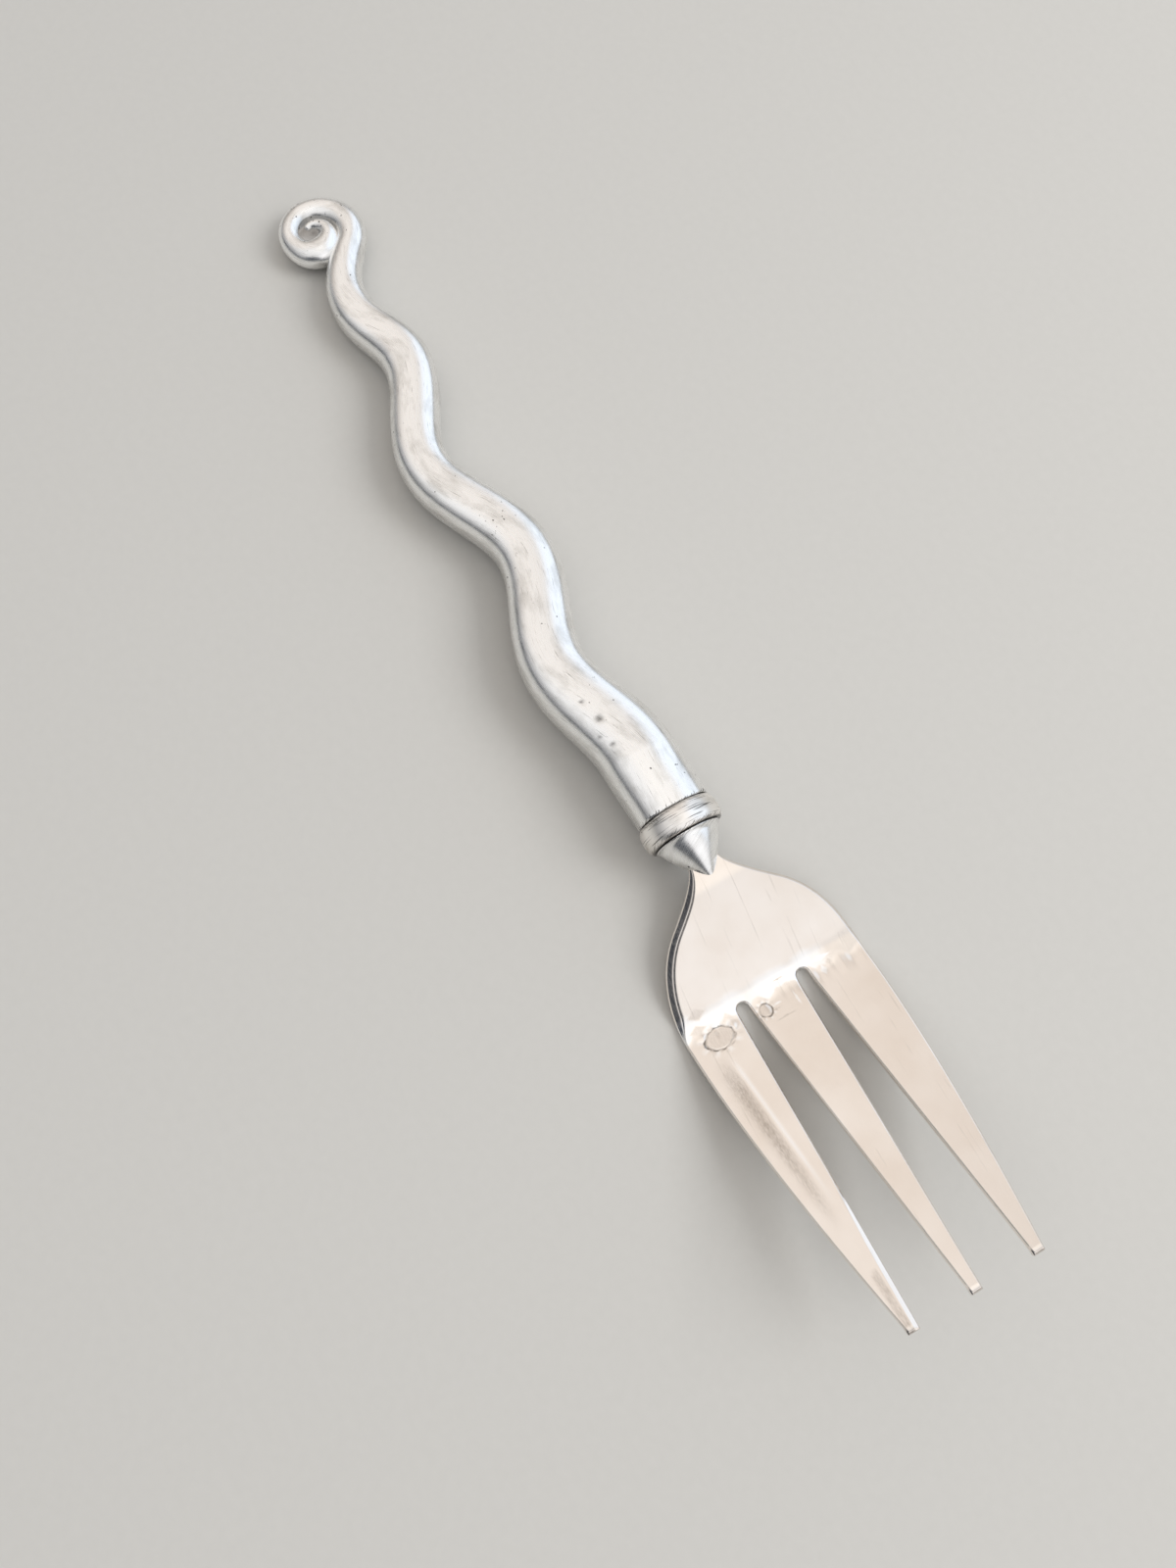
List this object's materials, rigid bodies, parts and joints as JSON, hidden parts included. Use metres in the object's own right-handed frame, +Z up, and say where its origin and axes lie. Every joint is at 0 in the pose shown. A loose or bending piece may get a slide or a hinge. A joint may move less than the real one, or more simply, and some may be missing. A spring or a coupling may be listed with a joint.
{
  "type": "serving fork",
  "caption": "Serving fork lying hollow side up: slotted steel head with tapering tines, set by a hidden tang in a wavy cast-metal handle with a beaded collar and a rolled-up end",
  "frame": {"origin": "Middle of the fork's length and width, on the table it lies on", "axes": "+X runs along the fork from the curl to the tine tips, +Y across it, +Z up out of the hollow side"},
  "size_m": [0.2712, 0.0404, 0.022],
  "materials": {
    "polished_steel": "polished stainless sheet with fine lengthwise scratches",
    "cast_metal": "hand-polished cast white metal, darkened in its pits and hollows",
    "collar_metal": "duller cast white metal with scratches round the bead",
    "cement": "cured epoxy, hidden in the handle"
  },
  "bodies": {
    "root": {"fork_head": "polished_steel", "nose": "cast_metal", "collar_ring": "collar_metal", "handle_casting": "cast_metal", "tang_cement": "cement"}
  },
  "joints": []
}
